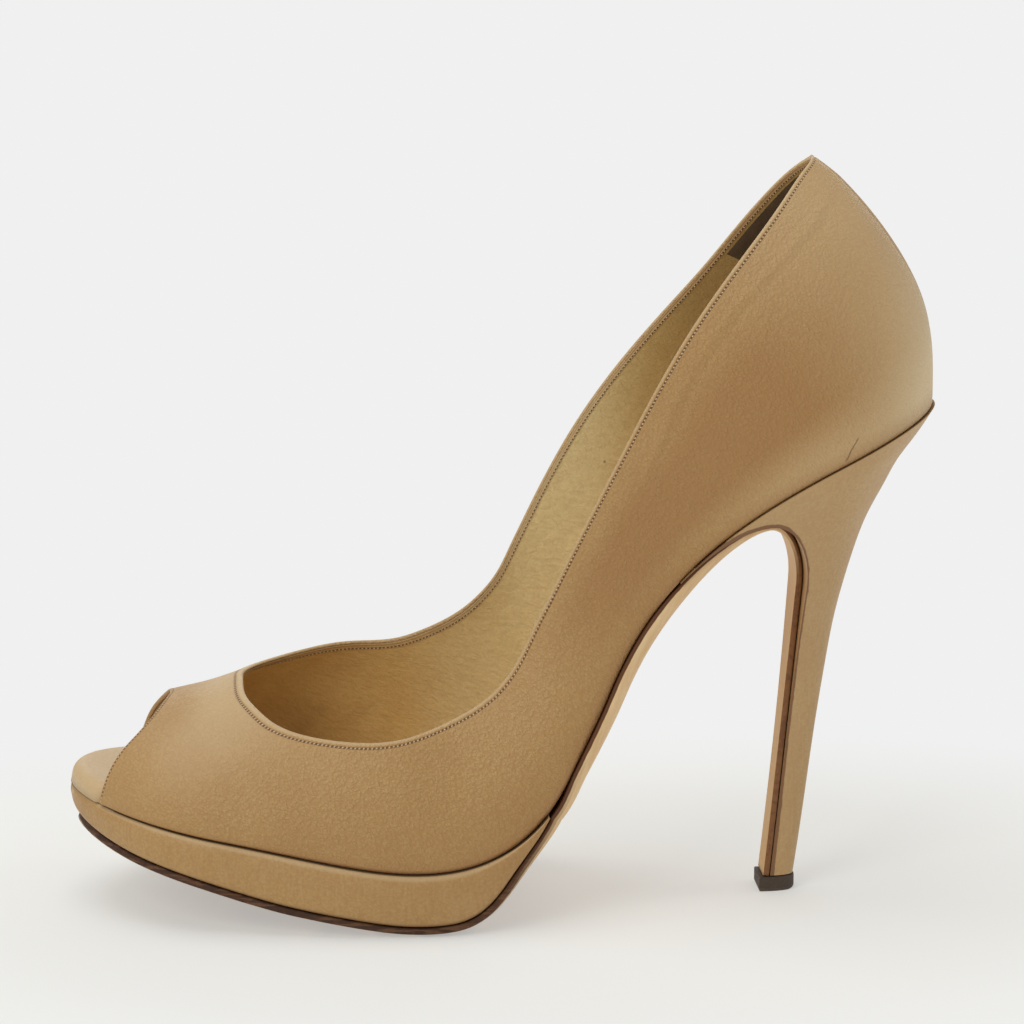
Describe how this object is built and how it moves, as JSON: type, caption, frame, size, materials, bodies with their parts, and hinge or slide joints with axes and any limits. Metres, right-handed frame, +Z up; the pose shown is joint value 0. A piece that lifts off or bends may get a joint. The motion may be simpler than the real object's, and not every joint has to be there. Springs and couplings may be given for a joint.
{
  "type": "peep toe platform pump",
  "caption": "Women's platform pump with a peep toe, a low-cut lined upper, a covered platform and a tall slender covered heel.",
  "frame": {"origin": "middle of the shoe's length and width, on the floor that it stands on", "axes": "+X from the toe to the heel, +Z up, -Y the outer side of the foot"},
  "size_m": [0.2118, 0.081, 0.1822],
  "materials": {
    "upper": "semi-gloss",
    "insole": "satin",
    "platform": "semi-gloss",
    "outsole": "satin",
    "heel": "semi-gloss",
    "top_piece": "matte"
  },
  "bodies": {
    "root": {"upper": "upper", "insole": "insole", "platform": "platform", "outsole": "outsole", "heel": "heel", "top_piece": "top_piece"}
  },
  "joints": []
}
